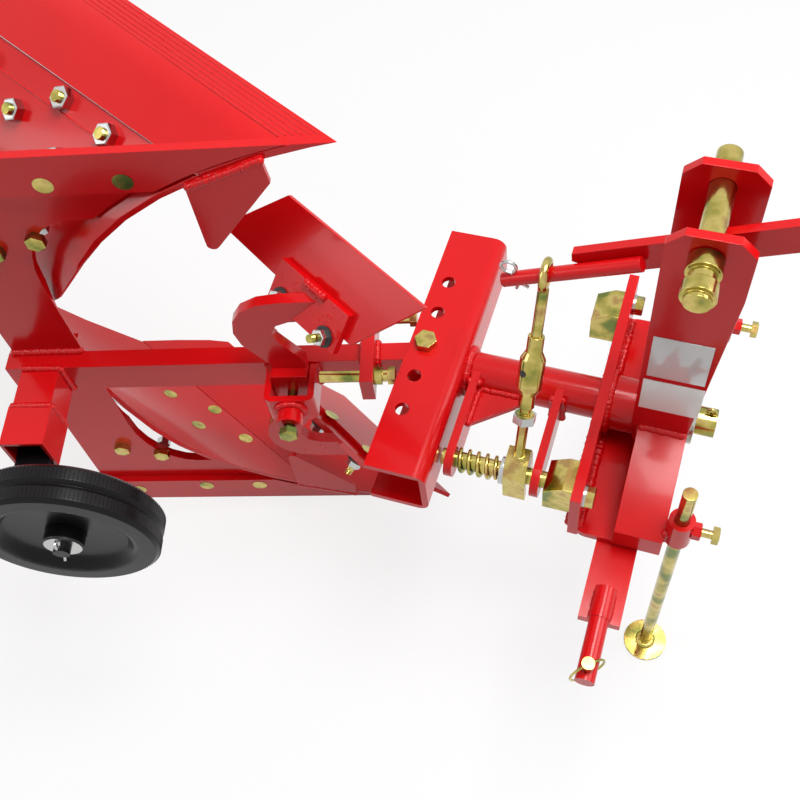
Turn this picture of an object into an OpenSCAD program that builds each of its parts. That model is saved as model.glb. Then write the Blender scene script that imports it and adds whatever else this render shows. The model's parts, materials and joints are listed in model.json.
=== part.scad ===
// Reversible single-furrow moldboard plough for a small tractor.
// X is forward, Y is to the left, Z is up. The origin lies midway between the lower hitch pins.

/* [Headstock] */
// Height of the turnover axis above the lower hitch pins
axis_up = 44; // [44:1:60]
// Half length of the cross member
cross_half = 160; // [155:1:175]
// Front to back width of the cross member
box_w = 54; // [48:1:60]
// Height of the cross member's flat top above the turnover axis
box_top = 38; // [34:1:44]
// Height of the mast plates above the turnover axis
mast_h = 368; // [366:1:390]
// Width of a mast plate at its top
mast_w = 80; // [74:1:90]
// Clear gap between the two mast plates
mast_gap = 76; // [70:1:80]
// Thickness of the mast plates
mast_t = 10; // [8:1:12]
// Height of the top link pin above the turnover axis
link_pin_up = 342; // [340:1:345]
// Diameter of the top link pin
link_pin_d = 25; // [19:1:26]
// Diameter of the lower hitch pins
hitch_pin_d = 22; // [20:1:24]
// Distance of a lower hitch pin's outer end from the middle
hitch_pin_end = 326; // [310:1:350]
// Distance of a hitch bar's outer end from the middle
hitch_bar_end = 252; // [240:1:260]

/* [Stand] */
// Diameter of the stand leg
stand_d = 16; // [14:1:18]
// Sideways distance of the stand leg from the turnover axis
stand_y = 142; // [135:1:145]
// Diameter of the stand foot
foot_d = 58; // [50:1:75]

/* [Turnover] */
// Diameter of the turnover tube
tube_d = 50; // [46:1:54]
// Diameter of the spindle in its bearings
spindle_d = 36; // [30:1:38]
// Radius from the turnover axis to the latch rod
latch_r = 123; // [119:1:126]
// Diameter of the latch rod
latch_d = 20; // [18:1:20]
// Length of the adjusting channel
channel_len = 356; // [330:1:360]
// Distance between the holes of the adjusting channel
hole_pitch = 48; // [42:1:50]
// Angle of the beam to the turnover axis, seen from above
beam_yaw = 16; // [10:1:18]

/* [Beam and bodies] */
// Height of the beam's section
beam_h = 50; // [46:1:54]
// Width of the beam's section
beam_w = 25; // [22:1:28]
// Depth of the sole below the turnover axis
sole = 375; // [370:1:385]
// Length of the moldboard's profile along the travel
body_run = 350; // [335:1:360]
// Height that the profile rises up to its upright tangent
body_rise = 290; // [280:1:296]
// Width of cut of the share
share_width = 300; // [270:1:310]
// Thickness of the moldboard
board_t = 6; // [5:0.5:7]
// Thickness of the share
share_t = 9; // [8:0.5:10]
// Height of the landside
landside_h = 56; // [50:1:60]
// Distance of the landside's heel behind the share's point
landside_len = 480; // [470:1:500]
// Thickness of the body's leg plate
leg_t = 12; // [10:1:14]

/* [Depth wheel] */
// Diameter of the depth wheel
wheel_d = 224; // [200:2:236]
// Width of the depth wheel
wheel_w = 48; // [42:1:54]
// Sideways distance of the wheel's outer face from the beam's middle
wheel_y = 243; // [236:1:250]
// Diameter of the wheel's axle
axle_d = 20; // [18:1:24]

/* [Hidden] */
run_gap = 0.2;
seat_gap = 0.5;
plate_t = 10;
slot_gap = 1;
hitch_x = 34;
stop_x0 = -24;
stop_t = 12;
stop_x1 = stop_x0 + stop_t;
stop_half = cross_half + 1;
stop_top = 40;
box_x0 = 28;
box_x1 = box_x0 + box_w;
box_bottom = -42;
box_shoulder = -12;
base_x0 = -27;
base_t = 10;
base_bottom = box_bottom - base_t;
mast_x0 = 20;
mast_y = mast_gap / 2;
mast_foot = mast_y + mast_t + 2;
bar_w = 47;
bar_t = 12;
clamp_wall = 6;
clamp_d = stand_d + 4 * run_gap + 2 * clamp_wall;
clamp_x = box_x1 + clamp_d / 2;
clamp_z0 = -25;
clamp_z1 = 21;
foot_t = 5;
lever_x = 58;
lever_drop = 38.5;
lever_z = link_pin_up - lever_drop;
lever_tilt = 25.4;
lever_t = 10;
lever_h = 34;
lever_pin_d = 16;
rod_d = 16;
rod_y = -lever_t / 2 - rod_d / 2;
eye_x = -92;
eye_z = lever_z + (eye_x - lever_x) * tan(lever_tilt);
fork_w = 26;
fork_gap = 1;
block_len = 34;
block_w = 42;
channel_x1 = -185;
channel_t = 8;
channel_x0 = -258;
channel_h = beam_h + 30;
channel_r = 16;
pivot_x = -238;
hole_r = 8.5;
lug_t = 10;
lug_rear_x = -176;
lug_front_x = -74;
latch_x0 = -183;
latch_x1 = -32;
washer_x = -112;
washer_t = 6;
beam_front = 30;
beam_back = -540;
land_y = beam_w / 2 - plate_t;
leg_y = beam_w / 2;
tip_x = -60;
entry = 15;
seam = 34;
top_angle = 98;
share_gap = 0.15;
cot_entry = 1.07;
cot_top = 1.36;
socket_x0 = -199;
socket_x1 = -137;
socket_w = 55;
stem_t = 14;
axle_x = -423;
arm_y = -wheel_y + wheel_w + 10;
arm_t = 12;
arm_h = 45;
wheel_socket_x = -492;
wheel_socket_w = 56;

// Moves a piece from the turnover axis's frame to the hitch's frame.
module at_axis() {
    translate([-hitch_x, 0, axis_up]) children();
}

// Moves a piece from the beam's frame, whose origin is the pivot bolt, to the hitch's frame.
module at_beam() {
    at_axis() translate([pivot_x, 0, 0]) rotate([0, 0, beam_yaw]) children();
}

// Turns a piece of the lower body over for the upper one.
module on_side(upper) {
    mirror([0, 0, upper ? 1 : 0]) children();
}

// A cylinder along X.
module bar_x(d, x0, x1, sides = 64) {
    translate([x0, 0, 0]) rotate([0, 90, 0]) cylinder(d = d, h = x1 - x0, $fn = sides);
}

// A cylinder along Y.
module bar_y(d, y0, y1, sides = 64) {
    translate([0, y0, 0]) rotate([-90, 0, 0]) cylinder(d = d, h = y1 - y0, $fn = sides);
}

// An outline given as x and z, made into a plate from y0 to y1.
module plate_xz(y0, y1) {
    translate([0, y1, 0]) rotate([90, 0, 0]) linear_extrude(y1 - y0) children();
}

// A rectangle with its four corners rounded, from two crossed bars and four discs.
module rounded_rect(w, h, r) {
    translate([r, 0]) square([w - 2 * r, h]);
    translate([0, r]) square([w, h - 2 * r]);
    for (x = [r, w - r], y = [r, h - r]) translate([x, y]) circle(r, $fn = 48);
}

// ---- Headstock ----

module base_plate() {
    r = 25;
    color("red") at_axis() translate([0, 0, base_bottom]) linear_extrude(base_t) {
        translate([base_x0 + r, -cross_half + 3]) square([box_x1 - base_x0 - r, 2 * cross_half - 6]);
        translate([base_x0, -cross_half + 3 + r]) square([r + 1, 2 * (cross_half - 3 - r)]);
        for (side = [-1, 1]) translate([base_x0 + r, side * (cross_half - 3 - r)]) circle(r, $fn = 64);
    }
}

// The cross member: a solid-looking box whose top slopes down to both ends.
module cross_member() {
    color("red") at_axis() difference() {
        translate([box_x0, 0, 0]) rotate([90, 0, 90]) linear_extrude(box_w) polygon([
            [-cross_half, box_bottom], [cross_half, box_bottom], [cross_half, box_shoulder],
            [mast_foot, box_top], [-mast_foot, box_top], [-cross_half, box_shoulder]
        ]);
        bar_x(spindle_d + 2 * run_gap, box_x0 - 1, box_x1 + 1);
        for (side = [-1, 1]) translate([box_x0 + 6, side * 78, box_bottom - 1])
            translate([0, -42, 0]) cube([box_w - 12, 84, 41]);
    }
}

module stop_plate() {
    color("red") at_axis() difference() {
        translate([stop_x0, -stop_half, box_bottom]) cube([stop_t, 2 * stop_half, stop_top - box_bottom]);
        bar_x(spindle_d + 2 * run_gap, stop_x0 - 1, stop_x1 + 1);
    }
}

module bearing_tube() {
    color("red") at_axis() difference() {
        bar_x(spindle_d + 30, stop_x1, box_x0);
        bar_x(spindle_d + 2 * run_gap, stop_x1 - 1, box_x0 + 1);
    }
}

// A mast plate: upright, chamfered at both top corners, bored for the two pins.
module mast(side) {
    y0 = side > 0 ? mast_y : -mast_y - mast_t;
    c = 16;
    x1 = mast_x0 + mast_w;
    color("red") at_axis() difference() {
        plate_xz(y0, y0 + mast_t) polygon([
            [mast_x0, box_top], [box_x1, box_top], [x1, link_pin_up - 52], [x1, mast_h - c],
            [x1 - c, mast_h], [mast_x0 + c, mast_h], [mast_x0, mast_h - c]
        ]);
        translate([lever_x, 0, link_pin_up]) bar_y(link_pin_d + 2 * run_gap, y0 - 1, y0 + mast_t + 1);
        translate([lever_x, 0, lever_z]) bar_y(lever_pin_d + 2 * run_gap, y0 - 1, y0 + mast_t + 1);
    }
}

module top_link_pin() {
    near = mast_y + mast_t;
    color("gold") at_axis() translate([lever_x, 0, link_pin_up]) {
        bar_y(link_pin_d, -near - 51, near + 34);
        bar_y(link_pin_d + 8, -near - 18, -near - 1);
        bar_y(link_pin_d + 8, -near - 45, -near - 30);
    }
}

module lever_pin() {
    near = mast_y + mast_t + 4;
    color("gold") at_axis() translate([lever_x, 0, lever_z]) bar_y(lever_pin_d, -near, near);
}

// A stop block: a ramp down to a slot that holds the latch rod and is open below.
module stop_block(side) {
    h = 52;
    slot = latch_d / 2 + slot_gap;
    flare = slot + 4.5;
    x0 = stop_x0 - block_len;
    color("goldenrod") at_axis() mirror([0, side > 0 ? 0 : 1, 0]) translate([0, latch_r, 0]) difference() {
        plate_xz(-block_w / 2, block_w / 2) polygon([
            [stop_x0, -h / 2], [stop_x0, h / 2], [stop_x0 - 12, h / 2], [x0, h / 2 - 14], [x0, -h / 2]
        ]);
        bar_x(2 * slot, x0 - 1, stop_x0 + 1);
        translate([x0 - 1, 0, 0]) rotate([90, 0, 90]) linear_extrude(block_len + 2)
            polygon([[-slot, 0], [slot, 0], [slot, -h], [-flare - 2, -h], [-flare, -h / 2]]);
    }
}

module clamp_tube(side) {
    color("red") at_axis() difference() {
        union() {
            translate([clamp_x, side * stand_y, clamp_z0])
                cylinder(d = clamp_d, h = clamp_z1 - clamp_z0, $fn = 64);
            translate([box_x1, side * stand_y - 6, clamp_z0]) cube([clamp_x - box_x1, 12, 20]);
        }
        translate([clamp_x, side * stand_y, clamp_z0 - 1])
            cylinder(d = stand_d + 4 * run_gap, h = clamp_z1 - clamp_z0 + 2, $fn = 64);
    }
}

// A flat bar under the base plate with the hitch pin welded along its end.
module hitch_arm(side) {
    seat = base_bottom - bar_t;
    pin_in = hitch_pin_end - 109;
    color("red") at_axis() mirror([0, side > 0 ? 0 : 1, 0]) difference() {
        union() {
            translate([hitch_x - bar_w / 2, 60, seat]) cube([bar_w, hitch_bar_end - 60, bar_t]);
            translate([hitch_x, 0, -axis_up]) bar_y(hitch_pin_d, pin_in, hitch_pin_end);
            translate([hitch_x, 0, -axis_up]) bar_y(hitch_pin_d + 2, pin_in - 1, hitch_bar_end + 1);
        }
        translate([hitch_x, hitch_pin_end - 14, -axis_up - hitch_pin_d]) cylinder(d = 8, h = 2 * hitch_pin_d, $fn = 32);
    }
}

// ---- Stand ----

module stand_leg() {
    color("goldenrod") at_axis() translate([clamp_x, -stand_y, -sole + foot_t])
        cylinder(d = stand_d, h = sole - foot_t + 84, $fn = 64);
}

module stand_foot() {
    color("goldenrod") at_axis() translate([clamp_x, -stand_y, -sole])
        cylinder(d = foot_d, h = foot_t, $fn = 64);
}

// ---- Turnover lever ----

// Places a piece on the lever: x along it, the pivot at its origin.
module on_lever() {
    at_axis() translate([lever_x, 0, lever_z]) rotate([0, -lever_tilt, 0]) children();
}

module lever_bar() {
    back = 132;
    front = 300;
    color("red") on_lever() difference() {
        plate_xz(-lever_t / 2, lever_t / 2) polygon([
            [-back + 26, -lever_h / 2], [front, -lever_h / 2], [front, lever_h / 2], [-back, lever_h / 2],
            [-back - 4, lever_h / 2 - 10]
        ]);
        bar_y(lever_pin_d + 2 * run_gap, -lever_t, lever_t);
    }
}

module lever_rod() {
    color("red") on_lever() translate([0, rod_y, 0]) bar_x(rod_d, -215, -62);
}

// The turnbuckle's line leans from the lever's rod out to the latch rod.
tb_dy = rod_y + latch_r;
tb_dz = eye_z - latch_d / 2 - fork_gap - 16;
tb_len = norm([tb_dy, tb_dz]);
tb_lean = atan2(tb_dy, tb_dz);
eye_wire = 9;
eye_r = rod_d / 2 + 2 + eye_wire / 2;

// Places a piece on the turnbuckle's line, z running down from the lever's rod.
module on_turnbuckle() {
    at_axis() translate([eye_x, rod_y, eye_z]) rotate([180 - tb_lean, 0, 0]) children();
}

module turnbuckle_eye() {
    color("goldenrod") on_turnbuckle() {
        rotate([0, 90, 0]) rotate_extrude($fn = 64) translate([eye_r, 0]) circle(d = eye_wire, $fn = 32);
        translate([0, 0, eye_r + 1]) cylinder(d = 12, h = 70 - eye_r - 1, $fn = 32);
    }
}

module turnbuckle_body() {
    color("goldenrod") on_turnbuckle() translate([0, 0, 70]) rotate_extrude($fn = 48) polygon([
        [0, 0], [9, 0], [9, 18], [14, 28], [14, 62], [9, 72], [9, 88], [0, 88]
    ]);
}

// The fork: a threaded stem and an upside-down U over the latch rod, flared on its inner side.
module turnbuckle_fork() {
    gap = latch_d / 2 + fork_gap;
    flare = gap + 4;
    half = 20;
    color("goldenrod") difference() {
        union() {
            on_turnbuckle() translate([0, 0, 158]) cylinder(d = 12, h = tb_len - 158, $fn = 32);
            on_turnbuckle() translate([0, 0, 166]) cylinder(r = 11, h = 10, $fn = 6);
            at_axis() translate([eye_x - fork_w / 2, -latch_r, 0]) rotate([90, 0, 90]) linear_extrude(fork_w)
                polygon([[-half, -24], [-half, 20], [-8, 38], [14, 38], [half, 20], [half, -24]]);
        }
        at_axis() translate([0, -latch_r, 0]) {
            bar_x(2 * gap, eye_x - fork_w, eye_x + fork_w);
            translate([eye_x - fork_w, 0, 0]) rotate([90, 0, 90]) linear_extrude(2 * fork_w)
                polygon([[-gap, 0], [gap, 0], [flare, -25], [-gap, -25]]);
        }
    }
}

// ---- Turnover rotor ----

module turnover_shaft() {
    color("red") at_axis() {
        bar_x(tube_d, channel_x1, stop_x0 - seat_gap);
        bar_x(spindle_d, stop_x0 - seat_gap - 1, box_x1 + 1);
    }
}

module shaft_washer() {
    color("silver") at_axis() bar_x(spindle_d + 24, box_x1 + 1, box_x1 + 7);
}

module shaft_cap() {
    color("goldenrod") at_axis() difference() {
        bar_x(spindle_d - 2, box_x1 + 7, box_x1 + 30);
        translate([box_x1 + 22, 0, -spindle_d]) cylinder(d = 6, h = 2 * spindle_d, $fn = 32);
    }
}

// The channel's section: a web at the front, two flanges to the rear, rounded outside.
module channel_section() {
    w = channel_x1 - channel_x0;
    difference() {
        translate([channel_x0 - 2 * channel_r, -channel_h / 2])
            rounded_rect(w + 2 * channel_r, channel_h, channel_r);
        translate([channel_x0 - 3 * channel_r, -channel_h / 2 - 1]) square([3 * channel_r, channel_h + 2]);
        translate([channel_x0 - channel_r, -channel_h / 2 + channel_t])
            square([w + channel_r - channel_t, channel_h - 2 * channel_t]);
    }
}

module adjusting_channel() {
    color("red") at_axis() difference() {
        plate_xz(-channel_len / 2, channel_len / 2) channel_section();
        for (k = [-2:2]) translate([pivot_x, k * hole_pitch, -channel_h])
            cylinder(r = hole_r, h = 2 * channel_h, $fn = 48);
    }
}

// A lug from the turnover tube out to the latch rod, with a round end.
module lug(x0) {
    end_r = 22;
    color("red") at_axis() difference() {
        translate([x0, 0, 0]) rotate([90, 0, 90]) linear_extrude(lug_t) {
            translate([-latch_r, 0]) circle(end_r, $fn = 96);
            translate([-latch_r, -end_r]) square([latch_r, 2 * end_r]);
        }
        bar_x(tube_d, x0 - 1, x0 + lug_t + 1);
        translate([0, -latch_r, 0]) bar_x(latch_d + 3 * run_gap, x0 - 1, x0 + lug_t + 1);
    }
}

module lug_gusset() {
    t = 8;
    x0 = lug_rear_x + lug_t;
    color("red") at_axis() difference() {
        translate([0, 0, -t / 2]) linear_extrude(t)
            polygon([[x0, 0], [x0 + 62, 0], [x0 + 62, -tube_d / 2 - 4], [x0, -tube_d / 2 - 52]]);
        bar_x(tube_d, x0 - 1, x0 + 63);
    }
}

module latch_rod() {
    color("goldenrod") at_axis() translate([0, -latch_r, 0]) bar_x(latch_d, latch_x0, latch_x1);
}

module latch_washers() {
    color("silver") at_axis() translate([0, -latch_r, 0]) difference() {
        bar_x(latch_d + 13, washer_x, washer_x + washer_t);
        bar_x(latch_d + 3 * run_gap, washer_x - 1, washer_x + washer_t + 1);
    }
}

// Steps along the spring's helix: eight-sided rings joined into one closed tube.
spring_turns = 4.5;
spring_wire = 5;
spring_steps = 16;
spring_sides = 8;
spring_x0 = lug_rear_x + lug_t + spring_wire / 2 + seat_gap;
spring_x1 = washer_x - spring_wire / 2 - seat_gap;
spring_r = latch_d / 2 + spring_wire / 2 + 0.6;
spring_n = spring_turns * spring_steps;
function spring_point(k, a) = let (
    t = 360 * k / spring_steps,
    x = spring_x0 + (spring_x1 - spring_x0) * k / spring_n,
    r = spring_r + spring_wire / 2 * cos(a)
) [x + spring_wire / 2 * sin(a), r * cos(t), r * sin(t)];

module latch_spring() {
    points = [for (k = [0:spring_n], s = [0:spring_sides - 1]) spring_point(k, 360 * s / spring_sides)];
    sides = [
        for (k = [0:spring_n - 1], s = [0:spring_sides - 1]) let (
            a = k * spring_sides + s,
            b = k * spring_sides + (s + 1) % spring_sides
        ) [a, b, b + spring_sides, a + spring_sides]
    ];
    start = [for (s = [spring_sides - 1:-1:0]) s];
    finish = [for (s = [0:spring_sides - 1]) spring_n * spring_sides + s];
    color("goldenrod") at_axis() translate([0, -latch_r, 0])
        polyhedron(points, concat(sides, [start, finish]), convexity = 10);
}

module beam_pivot_bolt() {
    color("gold") at_axis() translate([pivot_x, 0, 0]) {
        translate([0, 0, -channel_h / 2 - 16]) cylinder(r = hole_r - 0.5, h = channel_h + 22, $fn = 48);
        translate([0, 0, channel_h / 2]) cylinder(r = 14, h = 10, $fn = 6);
        translate([0, 0, -channel_h / 2 - 13]) cylinder(r = 14, h = 13, $fn = 6);
    }
}

// ---- Beam ----

module beam() {
    color("red") at_beam() difference() {
        translate([beam_back, -beam_w / 2, -beam_h / 2]) cube([beam_front - beam_back, beam_w, beam_h]);
        translate([0, 0, -beam_h]) cylinder(r = hole_r, h = 2 * beam_h, $fn = 48);
    }
}

set_x0 = -78;
set_t = 16;
set_half = 60;
set_z0 = 10;
set_z1 = 50;
set_bolt_y = 42;
set_bolt_z = channel_h / 2 - channel_t / 2 - 1;
set_bolt_d = 14;

// The set bar lies over the beam and is bored for the two set bolts.
module set_bar() {
    color("red") at_beam() difference() {
        translate([set_x0, -set_half, set_z0]) cube([set_t, 2 * set_half, set_z1 - set_z0]);
        translate([set_x0 - 1, -beam_w / 2, -beam_h / 2]) cube([set_t + 2, beam_w, beam_h]);
        for (side = [-1, 1]) translate([0, side * set_bolt_y, set_bolt_z])
            bar_x(set_bolt_d, set_x0 - 1, set_x0 + set_t + 1);
    }
}

// Each set bolt's head bears on the channel's rear edge, which the turned beam brings nearer on one side.
module set_bolts() {
    head_h = 9;
    head_r = 11;
    nut_h = 10;
    color("gold") at_beam() for (side = [-1, 1]) translate([0, side * set_bolt_y, set_bolt_z]) {
        edge = (channel_x0 - pivot_x) / cos(beam_yaw) + side * set_bolt_y * tan(beam_yaw);
        head = edge - head_r * tan(beam_yaw) - 0.3;
        bar_x(set_bolt_d, head - 92, head - 1);
        translate([head - head_h, 0, 0]) rotate([0, 90, 0]) cylinder(r = head_r, h = head_h, $fn = 6);
        translate([set_x0 + set_t, 0, 0]) rotate([0, 90, 0]) cylinder(r = head_r, h = nut_h, $fn = 6);
    }
}

// ---- Plough bodies, each worked out for the lower side ----

// The moldboard's surface: level lines whose angle to the travel closes with height.
function prof_x(f) = -body_run * (sin(f) - sin(entry)) / (1 - sin(entry));
function prof_h(f) = body_rise * (cos(entry) - cos(f)) / cos(entry);
function cot_at(f) = cot_entry + (cot_top - cot_entry) * (f - entry) / (90 - entry);
function surf(f, s) = [tip_x + prof_x(f) - s * cot_at(f), land_y + s, prof_h(f) - sole];
function unit(v) = v / norm(v);
// The way from the working face to the back of the sheet: rearward, to the land side and down.
function back(f, s) = unit(cross(surf(f + 1, s) - surf(f - 1, s), [-cot_at(f), 1, 0]));

// A closed sheet between rows of [angle, near side, far side, front offset, back offset], with n columns.
module sheet(rows, n) {
    m = len(rows);
    c = n + 1;
    o = m * c;
    front_pts = [
        for (r = rows, k = [0:n]) let (s = r[1] + (r[2] - r[1]) * k / n) surf(r[0], s) + [r[3], 0, 0]
    ];
    back_pts = [
        for (r = rows, k = [0:n]) let (s = r[1] + (r[2] - r[1]) * k / n) surf(r[0], s) + r[4] * back(r[0], s)
    ];
    front_faces = [
        for (i = [0:m - 2], k = [0:n - 1], h = [0, 1]) let (a = i * c + k)
            h == 0 ? [a, a + c, a + c + 1] : [a, a + c + 1, a + 1]
    ];
    back_faces = [for (f = front_faces) [f[2] + o, f[1] + o, f[0] + o]];
    rim = concat(
        [for (k = [0:n - 1]) k], [for (i = [0:m - 2]) i * c + n],
        [for (k = [n:-1:1]) (m - 1) * c + k], [for (i = [m - 1:-1:1]) i * c]
    );
    q = len(rim);
    rim_faces = [
        for (j = [0:q - 1], h = [0, 1]) let (a = rim[j], b = rim[(j + 1) % q])
            h == 0 ? [a, b, b + o] : [a, b + o, a + o]
    ];
    polyhedron(concat(front_pts, back_pts), concat(front_faces, back_faces, rim_faces), convexity = 6);
}

// Rows of the share: angle, near side, far side, front offset, back offset.
share_rows = [
    [entry, 0, share_width, 0, 2.5],
    [entry + 3.5, 0, share_width + 1, 0, share_t],
    [entry + 10, 0, share_width - 6, 0, share_t],
    [seam - share_gap, 0, share_width - 22, 0, share_t]
];

module share(upper) {
    color("red") at_beam() on_side(upper) difference() {
        sheet(share_rows, 5);
        translate([-900, -100, -sole - 100]) cube([1000, 600, 100]);
        translate([-900, land_y - 100, -sole - 1]) cube([1000, 100, sole]);
    }
}

// Rows of the moldboard: angle, near side, far side, front offset, back offset.
board_rows = [
    [seam, 0, share_width - 24, 0, board_t],
    [42, 0, share_width + 6, 0, board_t],
    [50, 0, share_width + 42, 0, board_t],
    [58, 0, share_width + 76, 0, board_t],
    [66, 2, share_width + 104, 0, board_t],
    [74, 8, share_width + 124, 0, board_t],
    [82, 20, share_width + 132, 0, board_t],
    [90, 44, share_width + 126, 0, board_t],
    [top_angle, 90, share_width + 100, 0, board_t]
];

module moldboard(upper) {
    color("red") at_beam() on_side(upper) difference() {
        sheet(board_rows, 10);
        translate([-900, land_y - 100, -sole - 1]) cube([1000, 100, sole]);
    }
}

// The room taken up by the share and the moldboard, for trimming what stands behind them.
void_rows = [for (f = [entry - 6:4:98]) [f, -30, 60, 420, share_t + 0.8]];

// The landside: a flat bar along the land plane whose front end follows the share's back.
module landside(upper) {
    back_x = tip_x - landside_len;
    color("red") at_beam() on_side(upper) difference() {
        plate_xz(land_y, land_y + plate_t) polygon([
            [back_x + 14, -sole], [tip_x, -sole], [tip_x, landside_h - sole], [back_x, landside_h - sole],
            [back_x, 14 - sole]
        ]);
        sheet(void_rows, 2);
    }
}

// The leg plate: a frog behind the moldboard and a neck up to the beam's side.
module leg(upper) {
    neck_x1 = -441;
    neck_x0 = -534;
    frog_top = 104 - sole;
    arc_x = -367;
    arc_top = 212 - sole;
    color("red") at_beam() on_side(upper) difference() {
        plate_xz(leg_y, leg_y + leg_t) polygon(concat(
            [[tip_x - 60, 12 - sole], [tip_x - 60, frog_top], [arc_x, frog_top]],
            [for (a = [15:15:75]) [neck_x1 + (arc_x - neck_x1) * (1 - sin(a)), arc_top - (arc_top - frog_top) * cos(a)]],
            [[neck_x1, arc_top], [neck_x1, 0], [neck_x0, 0], [neck_x0, 12 - sole]]
        ));
        sheet(void_rows, 2);
    }
}

// The shin fin: a spear-shaped plate standing up from the share's land edge.
module shin_fin(upper) {
    t = 6;
    r = 7;
    color("red") at_beam() on_side(upper) translate([0, 0, -sole]) plate_xz(land_y - t, land_y) {
        polygon([[-222, 50], [-137, 15], [-134, 45], [-209, 139], [-222, 132]]);
        translate([-215, 135]) circle(r, $fn = 48);
    }
}

// ---- Skimmers, each worked out for the upper side ----

skim_edge = 228;
skim_t = 6;
skim_plan = 46;
skim_tilt = 52;
skim_tip = [17, -77, 215];
flange_t = 9;

// Places a piece on a skimmer's blade: x along its cutting edge, y across it, z out of its back.
module on_skimmer() {
    translate(skim_tip) rotate([0, 0, 180 - skim_plan]) rotate([-skim_tilt, 0, 0]) children();
}

module skimmer_blade(upper) {
    color("red") at_beam() on_side(!upper) on_skimmer()
        linear_extrude(skim_t) polygon([[0, 0], [skim_edge, 0], [skim_edge + 82, 88], [67, 95]]);
}

// The stem: a hooked flat plate from the clamp up to the flange behind the blade.
module skimmer_stem(upper) {
    y0 = -beam_w / 2 - (upper ? 1 : 2) * stem_t;
    color("red") at_beam() on_side(!upper) {
        on_skimmer() translate([78, 62, skim_t]) cube([118, 52, flange_t]);
        difference() {
            plate_xz(y0, y0 + stem_t) polygon([
                [-190, -34], [-190, 42], [-216, 84], [-221, 108], [-217, 130], [-205, 148], [-184, 160],
                [-158, 164], [-110, 164], [-80, 130], [-152, 127], [-168, 120], [-175, 106], [-172, 90],
                [-146, 46], [-146, -34]
            ]);
            on_skimmer() translate([-200, -200, skim_t - 300]) cube([700, 350, 300]);
        }
    }
}

// The clamp: a bent socket open to the beam, with a boss for its bolt.
module skimmer_clamp() {
    h = 44;
    t = 8;
    y0 = -beam_w / 2 - socket_w;
    color("red") at_beam() difference() {
        union() {
            translate([socket_x0, 0, -h / 2]) linear_extrude(h) {
                translate([0, y0 + 10]) square([socket_x1 - socket_x0, socket_w - 10]);
                translate([10, y0]) square([socket_x1 - socket_x0 - 20, 20]);
                for (x = [10, socket_x1 - socket_x0 - 10]) translate([x, y0 + 10]) circle(10, $fn = 48);
            }
            translate([(socket_x0 + socket_x1) / 2, 0, 0]) bar_y(32, y0 - 22, y0 + 1);
        }
        translate([socket_x0 + t, y0 + t, -h / 2 - 1])
            cube([socket_x1 - socket_x0 - 2 * t, socket_w, h + 2]);
        translate([(socket_x0 + socket_x1) / 2, 0, 0]) bar_y(14, y0 - 23, y0 + t + 1);
    }
}

// ---- Depth wheel ----

module rear_cross() {
    color("red") at_beam() translate([wheel_socket_x - 25, -70, -25]) cube([50, 70 - beam_w / 2, 50]);
}

module wheel_socket() {
    w = wheel_socket_w;
    color("red") at_beam() translate([wheel_socket_x, 0, 0]) difference() {
        translate([-w / 2, -125, -w / 2]) cube([w, 55, w]);
        translate([-w / 2 + 5, -126, -w / 2 + 5]) cube([w - 10, 50, w - 10]);
    }
}

// The arm: a flat bar out of the socket and an upright plate that carries the axle.
module wheel_arm() {
    z0 = -wheel_socket_w / 2 + 5;
    color("black") at_beam() {
        translate([wheel_socket_x - arm_h / 2, arm_y, z0]) cube([arm_h, -arm_y - 78, arm_t]);
        translate([wheel_socket_x - arm_h / 2, arm_y, z0])
            cube([axle_x + arm_h / 2 - wheel_socket_x + arm_h / 2, arm_t, arm_h]);
    }
}

module wheel_axle() {
    color("black") at_beam() translate([axle_x, 0, 0]) bar_y(axle_d, -wheel_y - 14, arm_y);
}

module depth_wheel() {
    r = wheel_d / 2;
    w = wheel_w;
    hub_r = axle_d / 2 + 14;
    color("black") at_beam() translate([axle_x, -wheel_y, 0]) rotate([-90, 0, 0]) rotate_extrude($fn = 96)
        polygon([
            [hub_r, 14], [r - 40, 12], [r - 30, 2], [r - 24, 0], [r - 5, 0], [r, 5], [r, w / 2 - 5],
            [r - 5, w / 2], [r, w / 2 + 5], [r, w - 5], [r - 5, w], [r - 24, w], [r - 30, w - 2],
            [r - 40, w - 12], [hub_r, w - 14]
        ]);
}

module wheel_hub() {
    color("black") at_beam() translate([axle_x, 0, 0]) difference() {
        bar_y(axle_d + 28, -wheel_y - 2, -wheel_y + wheel_w + 4);
        bar_y(axle_d + 2 * run_gap, -wheel_y - 3, -wheel_y + wheel_w + 5);
    }
}

base_plate();
cross_member();
stop_plate();
bearing_tube();
mast(1);  // mast_left
mast(-1);  // mast_right
top_link_pin();
lever_pin();
stop_block(1);  // stop_block_left
stop_block(-1);  // stop_block_right
clamp_tube(1);  // clamp_tube_left
clamp_tube(-1);  // clamp_tube_right
hitch_arm(1);  // hitch_arm_left
hitch_arm(-1);  // hitch_arm_right
stand_leg();
stand_foot();
lever_bar();
lever_rod();
turnbuckle_eye();
turnbuckle_body();
turnbuckle_fork();
turnover_shaft();
shaft_washer();
shaft_cap();
adjusting_channel();
lug(lug_front_x);  // lug_front
lug(lug_rear_x);  // lug_rear
lug_gusset();
latch_rod();
latch_washers();
latch_spring();
beam_pivot_bolt();
beam();
set_bar();
set_bolts();
skimmer_clamp();
skimmer_stem(true);  // skimmer_stem_upper
skimmer_stem(false);  // skimmer_stem_lower
skimmer_blade(true);  // skimmer_blade_upper
skimmer_blade(false);  // skimmer_blade_lower
leg(true);  // leg_upper
leg(false);  // leg_lower
moldboard(true);  // moldboard_upper
moldboard(false);  // moldboard_lower
share(true);  // share_upper
share(false);  // share_lower
shin_fin(true);  // shin_fin_upper
shin_fin(false);  // shin_fin_lower
landside(true);  // landside_upper
landside(false);  // landside_lower
rear_cross();
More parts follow.
